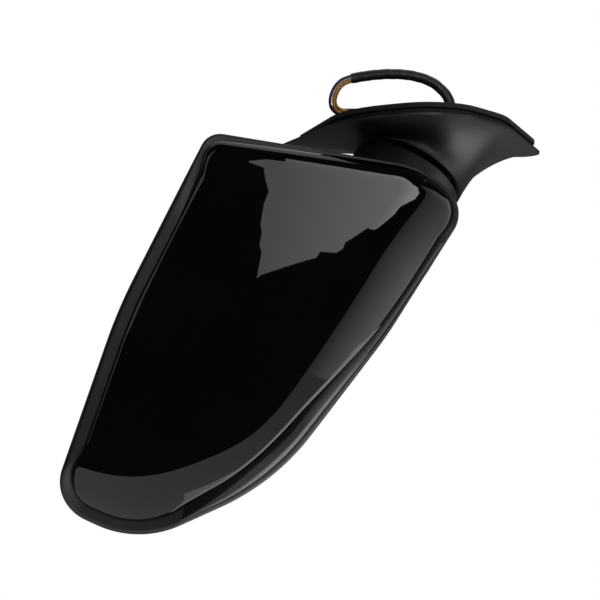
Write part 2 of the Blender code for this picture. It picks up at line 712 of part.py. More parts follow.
def foot_cover(neck, axes, finish):
    shares = (0.0, 0.12, 0.28, 0.44, 0.6, 0.76, 0.9, 1.0)
    outer_rim = [Vector((COVER_BACK, p.y, p.z)) for p in foot_ring(0.0, 0.0, neck)]
    inner_rim = [Vector((COVER_BACK, p.y, p.z)) for p in foot_ring(0.0, WALL, neck)]
    rings = [outer_rim] + [foot_ring(t, 0.0, neck) for t in shares]
    rings += [foot_ring(t, WALL, neck) for t in shares[::-1]] + [inner_rim]
    cover = add_object("foot_cover", loft(rings, caps=False), finish)
    clear = EAR_LENGTH + KNUCKLE_HALF + GAP + PIN_HEAD
    room = hinge_rod("foot_hinge_cutter", BARREL_RADIUS + BARREL_GAP, -clear, clear, axes)
    boolean(cover, room, "DIFFERENCE")
    low, high = -BARREL_RADIUS - 2 * GAP, SPLIT / 3
    slot = [(SLOT_START, low), (2 * HINGE_OFFSET, low), (2 * HINGE_OFFSET, high), (SLOT_START, high)]
    boolean(cover, neck_prism("foot_slot_cutter", slot, -clear, clear, axes), "DIFFERENCE")
    return cover


def flat_sheet(outline, low, high):
    """A flat sheet of a (rearward, up) outline between two distances from the door."""
    return loft([[Vector((x, y, z)) for y, z in outline] for x in (low, high)])


def along_door(y, z):
    """Turns a piece modelled along Z to run along the door normal at one place."""
    return Matrix.Translation((0, y, z)) @ Matrix.Rotation(math.radians(90), 4, "Y")


def door_plate(centre, finish):
    """Casting that is screwed to the door, with raised pads whose faces meet it."""
    outline = drawn_in(PLATE, [GROOVE] * len(PLATE), centre)
    plate = add_object("door_plate", flat_sheet(outline, PLATE_FRONT, PLATE_BACK), finish)
    pads = [((0.0, 0.0), PAD_RADIUS)] + [(place, INSERT_PAD) for place in INSERT_PLACES]
    for i, ((y, z), radius) in enumerate(pads):
        pad = moved(rod(radius, PLATE_BACK - PLATE_THICK / 3, 0.0), along_door(y, z))
        pad = add_object("pad_%d" % i, pad, None)
        boolean(plate, pad, "UNION")
    holes = [(place, INSERT_RADIUS + GAP) for place in INSERT_PLACES] + [(GROMMET_PLACE, GROMMET_NECK + GAP)]
    for i, ((y, z), radius) in enumerate(holes):
        hole = add_object("plate_hole_%d" % i, moved(rod(radius, -BEYOND, BEYOND), along_door(y, z)), None)
        boolean(plate, hole, "DIFFERENCE")
    return plate


def door_gasket(centre, finish):
    inner = drawn_in(PLATE, [GASKET_WIDTH] * len(PLATE), centre)
    rings = [[Vector((x, y, z)) for y, z in outline]
             for outline, x in ((PLATE, -GASKET_THICK), (PLATE, 0.0), (inner, 0.0), (inner, -GASKET_THICK))]
    return add_object("door_gasket", loft(rings, caps=False), finish)


def threaded_inserts(finish):
    """Sleeves in the plate's pads for the screws that come through the door."""
    profile = [(INSERT_BORE, PLATE_FRONT), (INSERT_RADIUS, PLATE_FRONT), (INSERT_RADIUS, 0.0),
               (INSERT_BORE, 0.0)]
    for i, (y, z) in enumerate(INSERT_PLACES):
        add_object("threaded_insert_%d" % (i + 1), moved(turned(profile, 24), along_door(y, z)), finish)


def harness_grommet(finish):
    bore = SLEEVE_RADIUS + GAP
    profile = [(bore, PLATE_FRONT), (GROMMET_NECK, PLATE_FRONT), (GROMMET_NECK, PLATE_BACK + GAP),
               (GROMMET_RADIUS, PLATE_BACK + GAP), (GROMMET_RADIUS, 0.0), (GROMMET_NECK, GROMMET_HEIGHT),
               (bore, GROMMET_HEIGHT)]
    return add_object("harness_grommet", moved(turned(profile, 24), along_door(*GROMMET_PLACE)), finish)


def wire_paths():
    """Five wires side by side in a round bundle, from the sleeve's end to the connector."""
    route = smooth_path([Vector(p) * MM for p in WIRE_ROUTE], 3)
    side = Vector((0, 1, 0))
    paths = [[] for colour in WIRE_COLOURS]
    for i, point in enumerate(route):
        ahead = (route[min(i + 1, len(route) - 1)] - route[max(i - 1, 0)]).normalized()
        side = (side - ahead * side.dot(ahead)).normalized()
        up = ahead.cross(side)
        for k, path in enumerate(paths):
            angle = 2 * math.pi * k / len(paths)
            path.append(point + (side * math.cos(angle) + up * math.sin(angle)) * WIRE_RING)
    return paths


def harness(sleeve_finish, connector_finish):
    tube_along("harness_sleeve", [Vector(p) * MM for p in SLEEVE_ROUTE], SLEEVE_RADIUS, sleeve_finish)
    for i, (path, colour) in enumerate(zip(wire_paths(), WIRE_COLOURS)):
        name = "wire_%d" % (i + 1)
        tube_along(name, path, WIRE_RADIUS, material(name, colour, 0.45), steps=1)
    x, y, z = [value * MM for value in WIRE_ROUTE[-1]]
    high, long, wide = CONNECTOR_SIZE
    low, near = PLATE_BACK + GAP, y + GAP
    body = block((low, near, z - wide / 2), (low + high, near + long, z + wide / 2))
    bmesh.ops.bevel(body, geom=body.edges[:], offset=CONNECTOR_SOFT, segments=2, affect="EDGES", profile=0.5)
    return add_object("connector", body, connector_finish)


def drive_place(du, dv):
    """Turns a piece modelled along Z to run rearward at one place on the glass drive, in the head's axes."""
    spot = Matrix.Translation((-(DRIVE_CENTRE[0] + du), 0, DRIVE_CENTRE[1] + dv))
    return spot @ Matrix.Rotation(math.radians(-90), 4, "X")


def drive_block(du, dv, low, high, size_u, size_v):
    u, v = DRIVE_CENTRE[0] + du, DRIVE_CENTRE[1] + dv
    return block((-u - size_u / 2, low, v - size_v / 2), (-u + size_u / 2, high, v + size_v / 2))


def cross_rod(name, radius, half, axes, along_up):
    """A rod through the gimbal's centre, up the head or across it."""
    turn = Matrix.Identity(4) if along_up else Matrix.Rotation(math.radians(90), 4, "Y")
    centre = Matrix.Translation((-DRIVE_CENTRE[0], PIVOT_DEPTH, DRIVE_CENTRE[1]))
    return add_object(name, moved(rod(radius, -half, half, 16), centre @ turn), None, axes)


def carrier_frame(axes, cutter, finish):
    """Plate across the housing that holds the glass drive."""
    inset = WALL + 3 * GAP
    rings = [head_ring(FRAME_DEPTH, inset), head_ring(FRAME_DEPTH + FRAME_THICK, inset)]
    frame = add_object("carrier_frame", loft(rings), finish, axes)
    boolean(frame, cutter, "DIFFERENCE")
    return frame


def actuator_box(axes, cup_finish, cover_finish):
    """Round cup on the frame and its cover, whose two yokes hold the gimbal."""
    top = DRIVE_FLOOR + ACTUATOR_DEPTH - ACTUATOR_WALL
    inside = ACTUATOR_RADIUS - ACTUATOR_WALL
    profile = [(0.0, DRIVE_FLOOR), (ACTUATOR_RADIUS, DRIVE_FLOOR), (ACTUATOR_RADIUS, top), (inside, top),
               (inside, DRIVE_FLOOR + ACTUATOR_WALL), (0.0, DRIVE_FLOOR + ACTUATOR_WALL)]
    bowl = moved(solid_turned(profile, 40), drive_place(0, 0))
    cup = add_object("actuator_housing", bowl, cup_finish, axes)
    low = top + GAP
    high = low + ACTUATOR_WALL
    disc = moved(rod(ACTUATOR_RADIUS, low, high, 40), drive_place(0, 0))
    cover = add_object("actuator_cover", disc, cover_finish, axes)
    for k, (du, dv) in enumerate(((DRIVE_ARM, 0.0), (0.0, -DRIVE_ARM))):
        hole = moved(rod(SCREW_RADIUS + GAP, low - ACTUATOR_WALL, high + ACTUATOR_WALL), drive_place(du, dv))
        boolean(cover, add_object("jackscrew_hole_%d" % k, hole, None, axes), "DIFFERENCE")
    for k, side in enumerate((1, -1)):
        tip = PIVOT_DEPTH + YOKE_TIP
        yoke = drive_block(0, side * YOKE_AT, (low + high) / 2, tip, YOKE_WIDTH, YOKE_THICK)
        boolean(cover, add_object("cover_yoke_%d" % k, yoke, None, axes), "UNION")
    bore = cross_rod("cover_yoke_bore", TRUNNION_RADIUS + RUNNING_GAP, 2 * YOKE_AT, axes, True)
    boolean(cover, bore, "DIFFERENCE")
    return cup


def tilt_motors(axes, finish):
    """Two motors that lie across the head, one above the other."""
    depth = DRIVE_FLOOR + ACTUATOR_WALL + GAP + MOTOR_RADIUS
    for name, dv in MOTOR_PLACES:
        place = Matrix.Translation((-DRIVE_CENTRE[0], depth, DRIVE_CENTRE[1] + dv))
        motor = rod(MOTOR_RADIUS, MOTOR_START, MOTOR_START + MOTOR_LENGTH, 20)
        add_object(name, moved(motor, place @ Matrix.Rotation(math.radians(90), 4, "Y")), finish, axes)


def actuator_screws(axes, frame, cup, finish):
    """Three screws through the frame into the cup's floor."""
    head_end, head_face = FRAME_DEPTH - GAP - FIXING_HEAD, FRAME_DEPTH - GAP
    tip = DRIVE_FLOOR + FIXING_TIP
    profile = [(0.0, head_end), (2 * FIXING_RADIUS, head_end), (2 * FIXING_RADIUS, head_face),
               (FIXING_RADIUS, head_face), (FIXING_RADIUS, tip), (0.0, tip)]
    for i, turn in enumerate((100, 220, 340)):
        du = SCREW_CIRCLE * math.cos(math.radians(turn))
        dv = SCREW_CIRCLE * math.sin(math.radians(turn))
        hole = moved(rod(FIXING_RADIUS + GAP, head_end, tip + FIXING_HEAD, 12), drive_place(du, dv))
        hole = add_object("actuator_screw_hole_%d" % i, hole, None, axes)
        boolean(frame, hole, "DIFFERENCE")
        boolean(cup, hole, "DIFFERENCE")
        screw = moved(solid_turned(profile, 12), drive_place(du, dv))
        add_object("actuator_screw_%d" % (i + 1), screw, finish, axes)


def jackscrews(axes, finish):
    tip = PIVOT_DEPTH + CARRIER_STANDOFF - 2 * GAP
    foot = DRIVE_FLOOR + ACTUATOR_WALL + JACK_TRAVEL + 3 * GAP
    for name, du, dv in (("jackscrew_side", DRIVE_ARM, 0.0), ("jackscrew_up", 0.0, -DRIVE_ARM)):
        ball = tip - SCREW_RADIUS
        profile = [(0.0, foot), (SCREW_RADIUS, foot)]
        for turn in (0, 30, 60, 80):
            angle = math.radians(turn)
            profile.append((SCREW_RADIUS * math.cos(angle), ball + SCREW_RADIUS * math.sin(angle)))
        profile.append((0.0, tip))
        add_object(name, moved(solid_turned(profile, 20), drive_place(du, dv)), finish, axes)


def gimbal_ring(axes, finish):
    inner = GIMBAL_RADIUS - GIMBAL_WIDTH / 2
    outer = GIMBAL_RADIUS + GIMBAL_WIDTH / 2
    low, high = PIVOT_DEPTH - GIMBAL_HALF, PIVOT_DEPTH + GIMBAL_HALF
    profile = [(inner, low), (outer, low), (outer, high), (inner, high)]
    ring = add_object("gimbal_ring", moved(turned(profile, 32), drive_place(0, 0)), finish, axes)
    reach = outer + GAP + YOKE_THICK
    for along_up in (True, False):
        boolean(ring, cross_rod("trunnion_%d" % along_up, TRUNNION_RADIUS, reach, axes, along_up), "UNION")
    middle = moved(rod(inner - GAP, 0.0, 2 * PIVOT_DEPTH, 32), drive_place(0, 0))
    boolean(ring, add_object("gimbal_middle", middle, None, axes), "DIFFERENCE")
    return ring


def carrier_yokes(carrier, axes):
    """Two arms on the carrier's back that hold the gimbal's other pair of trunnions."""
    low, high = PIVOT_DEPTH - YOKE_TIP, PIVOT_DEPTH + CARRIER_STANDOFF + CARRIER_THICK / 2
    for k, side in enumerate((1, -1)):
        yoke = drive_block(side * YOKE_AT, 0, low, high, YOKE_THICK, YOKE_WIDTH)
        boolean(carrier, add_object("carrier_yoke_%d" % k, yoke, None, axes), "UNION")
    bore = cross_rod("carrier_yoke_bore", TRUNNION_RADIUS + RUNNING_GAP, 2 * YOKE_AT, axes, False)
    boolean(carrier, bore, "DIFFERENCE")


def main():
    clear_scene()
    gloss = material("gloss_black", (0.005, 0.005, 0.006), 0.05)
    satin = material("satin_black", (0.018, 0.018, 0.019), 0.45)
    smoky = material("smoky_lens", (0.02, 0.019, 0.02), 0.08)
    rubber = material("rubber", (0.012, 0.012, 0.012), 0.8)
    zinc = material("zinc_casting", (0.45, 0.45, 0.46), 0.45, 1.0)
    coated = material("coated_casting", (0.012, 0.012, 0.013), 0.5)
    steel = material("steel", (0.55, 0.55, 0.56), 0.3, 1.0)
    nylon = material("nylon", (0.6, 0.58, 0.52), 0.5)
    board = material("light_board", (0.02, 0.12, 0.05), 0.5)
    silver = material("mirror", (0.85, 0.86, 0.87), 0.02, 1.0)

    head_axes = bpy.data.objects.new("head_axes", None)
    bpy.context.scene.collection.objects.link(head_axes)
    turn = Matrix.Rotation(-HEAD_SWEEP, 4, "Z") @ Matrix.Rotation(HEAD_RISE, 4, "Y")
    head_axes.matrix_world = Matrix.Translation(NECK_POINT) @ turn
    neck_axes = bpy.data.objects.new("neck_axes", None)
    bpy.context.scene.collection.objects.link(neck_axes)
    rear = Vector((-math.sin(NECK_SWEEP), math.cos(NECK_SWEEP), 0))
    out = Vector((-math.cos(NECK_SWEEP), -math.sin(NECK_SWEEP), 0))
    local = Matrix((rear, (0, 0, -1), out)).transposed().to_4x4()
    neck = head_axes.matrix_world @ local
    neck_axes.matrix_world = neck

    cutter = neck_cutter(neck_axes)
    housing = head_housing(head_axes, satin)
    boolean(housing, cutter, "DIFFERENCE")
    front_cap(head_axes, gloss)
    boolean(rear_bezel(head_axes, satin), cutter, "DIFFERENCE")
    indicator_lens(head_axes, smoky)
    indicator_board(head_axes, board)
    neck_collar(neck_axes, satin)
    head_pivot_bracket(neck_axes, zinc)
    frame = carrier_frame(head_axes, cutter, nylon)
    cup = actuator_box(head_axes, nylon, nylon)
    tilt_motors(head_axes, steel)
    actuator_screws(head_axes, frame, cup, steel)
    jackscrews(head_axes, nylon)
    gimbal_ring(head_axes, nylon)
    carrier = glass_stack(head_axes, nylon, rubber, silver)[0]
    carrier_yokes(carrier, head_axes)

    centre = (NECK_POINT.y, NECK_POINT.z)
    base_pivot_bracket(neck_axes, zinc)
    pivot_post(neck_axes, zinc)
    hinge_pin(neck_axes, steel)
    foot_cover(neck, neck_axes, satin)
    door_plate(centre, coated)
    door_gasket(centre, rubber)
    threaded_inserts(steel)
    harness_grommet(rubber)
    harness(rubber, nylon)


main()
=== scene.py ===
import json
import math

import bmesh
import bpy
from mathutils import Matrix, Vector

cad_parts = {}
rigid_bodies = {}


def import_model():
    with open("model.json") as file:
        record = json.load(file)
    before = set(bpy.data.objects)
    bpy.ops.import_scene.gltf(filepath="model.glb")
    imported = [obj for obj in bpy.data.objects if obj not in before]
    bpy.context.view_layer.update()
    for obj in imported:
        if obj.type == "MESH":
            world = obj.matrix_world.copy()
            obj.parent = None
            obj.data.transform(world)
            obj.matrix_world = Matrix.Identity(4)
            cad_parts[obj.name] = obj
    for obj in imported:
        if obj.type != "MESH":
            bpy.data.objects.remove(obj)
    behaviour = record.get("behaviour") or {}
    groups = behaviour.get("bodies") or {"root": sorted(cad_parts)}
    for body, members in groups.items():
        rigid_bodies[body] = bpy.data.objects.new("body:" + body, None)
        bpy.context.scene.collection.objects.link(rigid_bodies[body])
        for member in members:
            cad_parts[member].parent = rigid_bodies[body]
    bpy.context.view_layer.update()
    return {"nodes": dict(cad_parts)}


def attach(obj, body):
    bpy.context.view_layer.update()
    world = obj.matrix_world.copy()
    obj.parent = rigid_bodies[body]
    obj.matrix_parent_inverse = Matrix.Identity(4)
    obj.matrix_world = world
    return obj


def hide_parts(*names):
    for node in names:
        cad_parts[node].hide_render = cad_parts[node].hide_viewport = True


mm = 0.001

for old in list(bpy.data.objects):
    bpy.data.objects.remove(old)

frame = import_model()
nodes = frame["nodes"]
scene = bpy.context.scene
print("frame loaded:", len(nodes), "nodes")


def hexColour(text):
    channels = [int(text[i:i + 2], 16) / 255 for i in (1, 3, 5)]
    linear = [c / 12.92 if c <= 0.04045 else ((c + 0.055) / 1.055) ** 2.4 for c in channels]
    return (*linear, 1.0)


def addNode(tree, kind, settings=None, links=None):
    node = tree.nodes.new(kind)
    for key, value in (settings or {}).items():
        if isinstance(key, int) or key in node.inputs:
            node.inputs[key].default_value = value
        else:
            setattr(node, key, value)
    for key, source in (links or {}).items():
        tree.links.new(source, node.inputs[key])
    return node


def perMetre(sizeMm):          # texture scale whose features are that many millimetres wide
    return 1000 / sizeMm


def surface(name, look):       # colour drifts between two hex values, with a grain that is raised in millimetres
    made = bpy.data.materials.new(name)
    made.use_nodes = True
    tree = made.node_tree
    shader = tree.nodes["Principled BSDF"]
    for key in ("Metallic", "IOR"):
        if key in look:
            shader.inputs[key].default_value = look[key]
    place = addNode(tree, "ShaderNodeTexCoord").outputs["Object"]
    drift = addNode(tree, "ShaderNodeTexNoise", {"Scale": perMetre(look["driftMm"]), "Detail": 3.0}, {"Vector": place})
    ramp = addNode(tree, "ShaderNodeValToRGB", {}, {"Fac": drift.outputs["Fac"]})
    ramp.color_ramp.elements[0].position = 0.3
    ramp.color_ramp.elements[1].position = 0.7
    ramp.color_ramp.elements[0].color = hexColour(look["dark"])
    ramp.color_ramp.elements[1].color = hexColour(look["light"])
    tree.links.new(ramp.outputs["Color"], shader.inputs["Base Color"])
    grain = addNode(tree, "ShaderNodeTexNoise", {"Scale": perMetre(look["grainMm"]), "Detail": 2.0}, {"Vector": place})
    gloss = addNode(tree, "ShaderNodeMapRange", {"To Min": look["smooth"], "To Max": look["rough"]},
                    {"Value": drift.outputs["Fac"]})
    tree.links.new(gloss.outputs["Result"], shader.inputs["Roughness"])
    bump = addNode(tree, "ShaderNodeBump", {"Strength": look["relief"], "Distance": look["raisedMm"] * mm},
                   {"Height": grain.outputs["Fac"]})
    tree.links.new(bump.outputs["Normal"], shader.inputs["Normal"])
    return made


# lacquered ABS: deep black, mirror gloss, with the faint waviness of a sprayed coat
lacqueredAbs = surface("lacquered_abs", {
    "dark": "#030304", "light": "#050506", "driftMm": 60, "smooth": 0.008, "rough": 0.016,
    "grainMm": 6, "raisedMm": 0.004, "relief": 0.15, "IOR": 1.5})

# ABS moulded against a spark-eroded tool: black with a soft sheen broken by fine grain, drawn 1.1 mm wide to show
grainedAbs = surface("grained_abs", {
    "dark": "#18181a", "light": "#1f1f21", "driftMm": 35, "smooth": 0.4, "rough": 0.5,
    "grainMm": 1.1, "raisedMm": 0.05, "relief": 0.35, "IOR": 1.52})

# smoke-tinted polycarbonate: polished, nearly black, a little light passes
smokedPolycarbonate = surface("smoked_polycarbonate", {
    "dark": "#131214", "light": "#1a181a", "driftMm": 50, "smooth": 0.1, "rough": 0.16,
    "grainMm": 4, "raisedMm": 0.01, "relief": 0.1, "IOR": 1.58})

# EPDM rubber: dull, slightly dusty black
epdmRubber = surface("epdm_rubber", {
    "dark": "#121212", "light": "#1c1c1b", "driftMm": 9, "smooth": 0.7, "rough": 0.85,
    "grainMm": 0.8, "raisedMm": 0.06, "relief": 0.4, "IOR": 1.52})

# die-cast zinc: grey metal, softly mottled, with the tool's fine shot-blasted grain
castZinc = surface("die_cast_zinc", {
    "dark": "#77797c", "light": "#8f9194", "driftMm": 8, "smooth": 0.42, "rough": 0.56,
    "grainMm": 0.9, "raisedMm": 0.06, "relief": 0.4, "Metallic": 1.0})

# zinc casting coloured near-black so that its edge, deep in the groove under the foot, reads as dark as shade there:
# painted shade; matte, its tone a little uneven
shadeBlackCasting = surface("casting_black_as_shade", {
    "dark": "#060607", "light": "#0a0a0b", "driftMm": 10, "smooth": 0.65, "rough": 0.8,
    "grainMm": 1.2, "raisedMm": 0.06, "relief": 0.35, "IOR": 1.45})

# zinc-plated steel: bright grey with a slight cloudiness
platedSteel = surface("zinc_plated_steel", {
    "dark": "#a4a7aa", "light": "#bcbfc1", "driftMm": 5, "smooth": 0.24, "rough": 0.36,
    "grainMm": 0.7, "raisedMm": 0.02, "relief": 0.25, "Metallic": 1.0})

# glass-filled nylon: dark grey moulding, faintly fibrous and dry
filledNylon = surface("glass_filled_nylon", {
    "dark": "#232427", "light": "#2d2e31", "driftMm": 6, "smooth": 0.5, "rough": 0.62,
    "grainMm": 1.0, "raisedMm": 0.05, "relief": 0.35, "IOR": 1.53})

# glass-fibre board under green solder mask: slightly glossy, woven under the mask
solderMask = surface("solder_mask_board", {
    "dark": "#123b22", "light": "#1a4a2c", "driftMm": 3, "smooth": 0.3, "rough": 0.42,
    "grainMm": 1.2, "raisedMm": 0.03, "relief": 0.3, "IOR": 1.55})

# silvered float glass: a clear reflection with the slightest cool tint
silveredGlass = surface("silvered_glass", {
    "dark": "#d8dcde", "light": "#dee1e3", "driftMm": 120, "smooth": 0.012, "rough": 0.02,
    "grainMm": 30, "raisedMm": 0.001, "relief": 0.05, "Metallic": 1.0})

# PVC harness tape: wound black tape, half matte, a little stretched at each lap
harnessTape = surface("pvc_harness_tape", {
    "dark": "#151516", "light": "#202021", "driftMm": 4, "smooth": 0.38, "rough": 0.5,
    "grainMm": 0.8, "raisedMm": 0.05, "relief": 0.35, "IOR": 1.53})


def wirePvc(name, dark, light):      # extruded PVC insulation: plain colour with a smooth, waxy sheen
    return surface(name, {
        "dark": dark, "light": light, "driftMm": 3, "smooth": 0.34, "rough": 0.44,
        "grainMm": 0.8, "raisedMm": 0.01, "relief": 0.2, "IOR": 1.53})


print("materials made:", len(bpy.data.materials))


def meshPiece(name, bm, material, sharpAngle=35):
    bmesh.ops.recalc_face_normals(bm, faces=bm.faces)
    mesh = bpy.data.meshes.new(name)
    bm.to_mesh(mesh)
    bm.free()
    mesh.shade_smooth()
    mesh.set_sharp_from_angle(angle=math.radians(sharpAngle))
    mesh.materials.append(material)
    made = bpy.data.objects.new(name, mesh)
    scene.collection.objects.link(made)
    return made


def skin(rings, closedBand=False):      # quads between equal rings; a closed band joins the last ring to the first
    bm = bmesh.new()
    rows = [[bm.verts.new(p) for p in ring] for ring in rings]
    pairs = list(zip(rows, rows[1:]))
    if closedBand:
        pairs.append((rows[-1], rows[0]))
    for low, high in pairs:
        for i in range(len(low)):
            j = (i + 1) % len(low)
            bm.faces.new((low[i], low[j], high[j], high[i]))
    return bm


def closeEnd(bm, count, last):          # fills the first or the last ring of a skin
    bm.verts.ensure_lookup_table()
    ring = bm.verts[-count:] if last else bm.verts[:count]
    bm.faces.new(ring if last else ring[::-1])
    return bm


def cutAway(piece, tool):               # applies a cut and removes its tool
    change = piece.modifiers.new("cut", "BOOLEAN")
    change.operation = "DIFFERENCE"
    change.solver = "EXACT"
    change.object = tool
    settled = bpy.data.meshes.new_from_object(piece.evaluated_get(bpy.context.evaluated_depsgraph_get()))
    piece.modifiers.clear()
    piece.data = settled
    bpy.data.objects.remove(tool)
    return piece


def drum(radius, low, high, place, steps=96):       # round cutting tool along its own Z
    turns = [2 * math.pi * k / steps for k in range(steps)]
    rings = [[place @ Vector((radius * math.cos(t), radius * math.sin(t), z)) for t in turns] for z in (low, high)]
    bm = closeEnd(closeEnd(skin(rings), steps, False), steps, True)
    return meshPiece("cutter", bm, grainedAbs)


def prism(corners, low, high, place):   # cutting tool drawn across the neck and run up the hinge
    rings = [[place @ Vector((e, -h, d)) for e, d in corners] for h in (low, high)]
    count = len(corners)
    return meshPiece("cutter", closeEnd(closeEnd(skin(rings), count, False), count, True), grainedAbs)


def spreadEvenly(path, count):          # points at equal steps round a closed path
    lengths = [(path[(i + 1) % len(path)] - p).length for i, p in enumerate(path)]
    step = sum(lengths) / count
    points, at, walked = [], 0, 0.0
    for k in range(count):
        while walked + lengths[at] < k * step:
            walked += lengths[at]
            at += 1
        points.append(path[at].lerp(path[(at + 1) % len(path)], (k * step - walked) / max(lengths[at], 1e-9)))
    return points


def roundedOutline(corners, count):     # even points round a polygon whose corners are arcs
    path = []
    for i, (a, b, radius) in enumerate(corners):
        here = Vector((a, b)) * mm
        before = Vector(corners[i - 1][:2]) * mm - here
        after = Vector(corners[(i + 1) % len(corners)][:2]) * mm - here
        half = before.angle(after) / 2
        reach = min(radius * mm / math.tan(half), 0.48 * before.length, 0.48 * after.length)
        arc = reach * math.tan(half)
        middle = here + (before.normalized() + after.normalized()).normalized() * arc / math.sin(half)
        start = here + before.normalized() * reach - middle
        end = here + after.normalized() * reach - middle
        turn = start.angle_signed(end)
        for k in range(41):
            path.append(middle + Matrix.Rotation(-turn * k / 40, 2) @ start)
    return spreadEvenly(path, count)


def drawnIn(points, amounts, centre):   # each point moves towards the centre until it is that far inside
    found = []
    for i, point in enumerate(points):
        along = points[(i + 1) % len(points)] - points[i - 1]
        normal = Vector((-along.y, along.x)).normalized()
        inward = (Vector(centre) - point).normalized()
        found.append(point + inward * amounts[i] / max(abs(normal.dot(inward)), 0.45))
    return found


def evenlyIn(points, amount, centre):    # an even border: each point moves square to the outline
    found = []
    for i, point in enumerate(points):
        along = points[(i + 1) % len(points)] - points[i - 1]
        normal = Vector((-along.y, along.x)).normalized()
        found.append(point + normal * math.copysign(amount, normal.dot(Vector(centre) - point)))
    return found


# the head hangs on these axes: x inboard, y rearward, z up along the glass
head = {
    "neckPoint": (-30, -5, 7), "sweep": 8, "rise": 28.4, "neckSweep": 24.8,      # mm and degrees
    "corners": [(34, 114, 12), (150, 111, 300), (269, 92, 24), (266, 36, 60), (196, -17, 140),
                (90, -34, 250), (0, -40, 16), (-8, -6, 60)],
    "crown": (140, 48), "points": 288, "evenRounds": 64,
    "rim": 39, "bezelLength": 9, "wall": 2.5, "gap": 0.3, "frameDepth": -12,
    "topLip": 8, "neckLip": 1.5, "lowLips": (3.5, 14), "lowLipAt": (40, 190), "wrapReach": 90,
    "lowBand": (1.25, 2.1), "tipFall": 0.6, "neckFall": 0.8, "neckReach": 60,
    "slantReach": 95, "slantFrom": -34, "slantSoft": 12, "lensFrom": 20, "lensTo": 245,
}
headPlace = (Matrix.Translation(Vector(head["neckPoint"]) * mm)
             @ Matrix.Rotation(math.radians(-head["sweep"]), 4, "Z")
             @ Matrix.Rotation(math.radians(head["rise"]), 4, "Y"))
neckTurn = math.radians(head["neckSweep"])
neckPlace = headPlace @ Matrix(((-math.sin(neckTurn), math.cos(neckTurn), 0), (0, 0, -1),
                                (-math.cos(neckTurn), -math.sin(neckTurn), 0))).transposed().to_4x4()
outline = roundedOutline(head["corners"], head["points"])
crownPoint = Vector(head["crown"]) * mm
lowEdge, highEdge = min(p.y for p in outline), max(p.y for p in outline)
inboardEdge, outboardEdge = min(p.x for p in outline), max(p.x for p in outline)


def smoothStep(share):
    share = min(max(share, 0.0), 1.0)
    return share * share * (3 - 2 * share)


def lowness(p):                # 0 along the top and the ends of the head, 1 along its lower edge
    height = (p.y - lowEdge) / (highEdge - lowEdge)
    tip = (p.x - head["lensTo"] * mm) / (outboardEdge - head["lensTo"] * mm)
    neck = 1 - (p.x - inboardEdge) / (head["neckReach"] * mm)
    start, fall = head["lowBand"]
    return smoothStep(start - fall * height - head["tipFall"] * max(tip, 0.0) - head["neckFall"] * max(neck, 0.0))


lows = [lowness(p) for p in outline]
for k in range(head["evenRounds"]):     # evened out round the outline
    lows = [(lows[i - 1] + 2 * low + after) / 4 for i, (low, after) in enumerate(zip(lows, lows[1:] + lows[:1]))]
wraps = [smoothStep(1 - (p.x - inboardEdge) / (head["wrapReach"] * mm)) for p in outline]      # 1 at the neck end


def roundHead(top, neck, below):        # millimetres along the top, the neck end and the lower edge, blended
    return [((top + (neck - top) * wrap) * (1 - low) + under * low) * mm
            for wrap, low, under in zip(wraps, lows, below)]


narrow, wide = head["lowLips"]
widening = [smoothStep((p.x / mm - head["lowLipAt"][0]) / (head["lowLipAt"][1] - head["lowLipAt"][0])) for p in outline]
lips = roundHead(head["topLip"], head["neckLip"], [narrow + (wide - narrow) * share for share in widening])

# gloss cap: flush with the shell along the top, wrapped over at the neck end, a soft shoulder along the lower edge
cap = {"face": -60, "crownRise": 5, "crownReach": (150, 95), "steps": (3, 12, 9), "softs": (2, 10, 2.5),
       "shoulderFrom": 4, "shoulder": 36, "fall": 17, "blends": (4, 14), "neckFade": 0.4, "wall": 2.2,
       "faceRings": 44}                                        # mm


def lowerEdge(u):              # a smooth line through the three lower corners
    (a, va), (b, vb), (c, vc) = [(x * mm, y * mm) for x, y, radius in head["corners"][6:3:-1]]
    return (va * (u - b) * (u - c) / ((a - b) * (a - c)) + vb * (u - a) * (u - c) / ((b - a) * (b - c))
            + vc * (u - a) * (u - b) / ((c - a) * (c - b)))


def softLeast(a, b, reachMm):   # the lesser of two distances, eased where they are alike
    reach = reachMm * mm
    return -reach * math.log(math.exp(-a / reach) + math.exp(-b / reach))


def insideEdge(u, v, start, end):       # distance inside the straight edge between two corners of the head
    run, rise = (end[0] - start[0]) * mm, (end[1] - start[1]) * mm
    return ((u - start[0] * mm) * rise - (v - start[1] * mm) * run) / math.hypot(run, rise)


def capDepth(u, v):            # crowned, and falling back towards the lower edge and the outboard end
    across = (u - crownPoint.x) / (cap["crownReach"][0] * mm)
    up = (v - crownPoint.y) / (cap["crownReach"][1] * mm)
    tipTop, tipLow, tipUnder = head["corners"][2:5]
    below = softLeast(v - lowerEdge(u), insideEdge(u, v, tipLow, tipUnder), cap["blends"][0])
    inside = softLeast(below, insideEdge(u, v, tipTop, tipLow), cap["blends"][1])
    share = max(1 - (inside - cap["shoulderFrom"] * mm) / (cap["shoulder"] * mm), 0.0)
    neck = 1 - cap["neckFade"] * smoothStep(1 - (u - inboardEdge) / (head["neckReach"] * mm))
    return (cap["face"] - cap["crownRise"] * (1 - across * across - up * up)
            + cap["fall"] * share * share * neck) * mm


steps = roundHead(cap["steps"][0], cap["steps"][1], [cap["steps"][2]] * len(outline))
softs = roundHead(cap["softs"][0], cap["softs"][1], [cap["softs"][2]] * len(outline))
partings = [capDepth(p.x, p.y) + step for p, step in zip(drawnIn(outline, lips, crownPoint), steps)]


def behindParting(distance):   # depths that lie that many millimetres behind the parting line
    return [parting + distance * mm for parting in partings]


